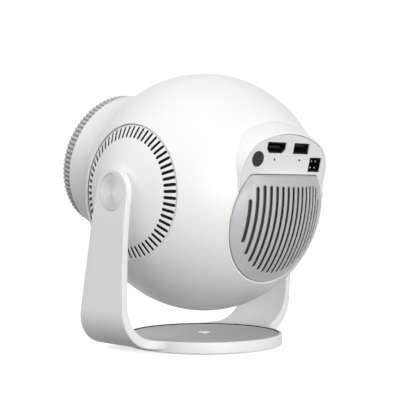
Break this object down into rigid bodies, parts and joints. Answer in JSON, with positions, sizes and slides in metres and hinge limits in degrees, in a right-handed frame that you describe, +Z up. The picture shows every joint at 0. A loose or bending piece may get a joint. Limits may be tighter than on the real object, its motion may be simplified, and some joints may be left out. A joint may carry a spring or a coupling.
{
  "type": "video projector",
  "caption": "Ball-shaped video projector that tilts in a U-shaped yoke on a round base, with a ribbed focus ring, slotted round side vents, a rear port plate and a domed rear grille",
  "frame": {"origin": "centre of the mouth of the tripod thread, in the plane of the table under the round base", "axes": "+Z up from the table; -Y the way the lens points, seen from above; X along the tilt axis, +X the side that the picture shows"},
  "size_m": [0.1644, 0.1838, 0.183],
  "materials": {
    "shell_white": "satin moulded plastic",
    "yoke_white": "smooth satin paint",
    "panel_white": "satin moulded plastic",
    "plate_grey": "fine satin texture",
    "grille_grey": "silver-grey satin paint",
    "screen_grey": "fine dark filter cloth",
    "ring_grey": "satin grey plastic",
    "cap_steel": "spun, lathe-turned face",
    "pad_grey": "soft satin sheet",
    "foot_rubber": "matt",
    "black_plastic": "matt moulded plastic",
    "button_grey": "satin moulded plastic",
    "lens_glass": "polished and coated",
    "display_glass": "polished",
    "board_green": "solder-resist lacquer",
    "chassis_metal": "plain milled and extruded",
    "steel": "turned and plated",
    "bush_bronze": "plain sintered bronze",
    "pin_metal": "plated",
    "washer_fibre": "pressed fibre"
  },
  "bodies": {
    "stand": {"yoke": "yoke_white", "base_pad": "pad_grey", "foot_ring": "foot_rubber", "tripod_insert": "steel", "pivot_cap_right": "cap_steel", "pivot_cap_left": "cap_steel", "pivot_shaft_right": "steel", "pivot_shaft_left": "steel", "friction_washers": "washer_fibre", "retaining_clips": "steel"},
    "head": {"front_shell": "shell_white", "rear_shell": "shell_white", "vent_panel_right": "panel_white", "vent_panel_left": "panel_white", "port_plate": "plate_grey", "rear_grille": "grille_grey", "dust_screen": "screen_grey", "lens_tube": "black_plastic", "optical_housing": "black_plastic", "fan_frame": "black_plastic", "video_socket": "black_plastic", "data_socket": "black_plastic", "power_socket": "black_plastic", "button_switch": "black_plastic", "speaker": "black_plastic", "field_lens": "lens_glass", "collimator_lens": "lens_glass", "image_panel": "display_glass", "main_board": "board_green", "light_module": "board_green", "chassis": "chassis_metal", "heat_sink": "chassis_metal", "chassis_screws": "steel", "board_screws": "steel", "tube_screws": "steel", "fan_screws": "steel", "pivot_bushes": "bush_bronze", "power_pins": "pin_metal"},
    "focus": {"focus_ring": "ring_grey", "focus_hood": "black_plastic"},
    "lens": {"lens_cell": "black_plastic", "front_lens": "lens_glass", "rear_lens": "lens_glass", "lens_retainer": "black_plastic"},
    "rotor": {"fan_rotor": "black_plastic"},
    "button": {"power_button": "button_grey"}
  },
  "joints": [
    {"name": "head_tilt", "type": "hinge", "parent": "stand", "child": "head", "pos_m": [0, 0, 0.103], "axis": [-1, 0, 0], "range_deg": [-39, 76]},
    {"name": "focus_turn", "type": "hinge", "parent": "head", "child": "focus", "pos_m": [0, 0, 0.103], "axis": [0, -0.969, 0.247], "range_deg": [-45, 45]},
    {"name": "lens_slide", "type": "slide", "parent": "head", "child": "lens", "axis": [0, -0.969, 0.247], "range_m": [-0.0025, 0.0025]},
    {"name": "fan_spin", "type": "hinge", "parent": "head", "child": "rotor", "pos_m": [0, 0, 0.103], "axis": [0, -0.969, 0.247], "continuous": true},
    {"name": "button_push", "type": "slide", "parent": "head", "child": "button", "axis": [0, -0.969, 0.247], "range_m": [0, 0.001], "stiffness_N_per_m": 500, "springref_m": -0.001}
  ],
  "couplings": [
    {"joint": "lens_slide", "follows": "focus_turn", "m_per_rad": 0.00318}
  ]
}
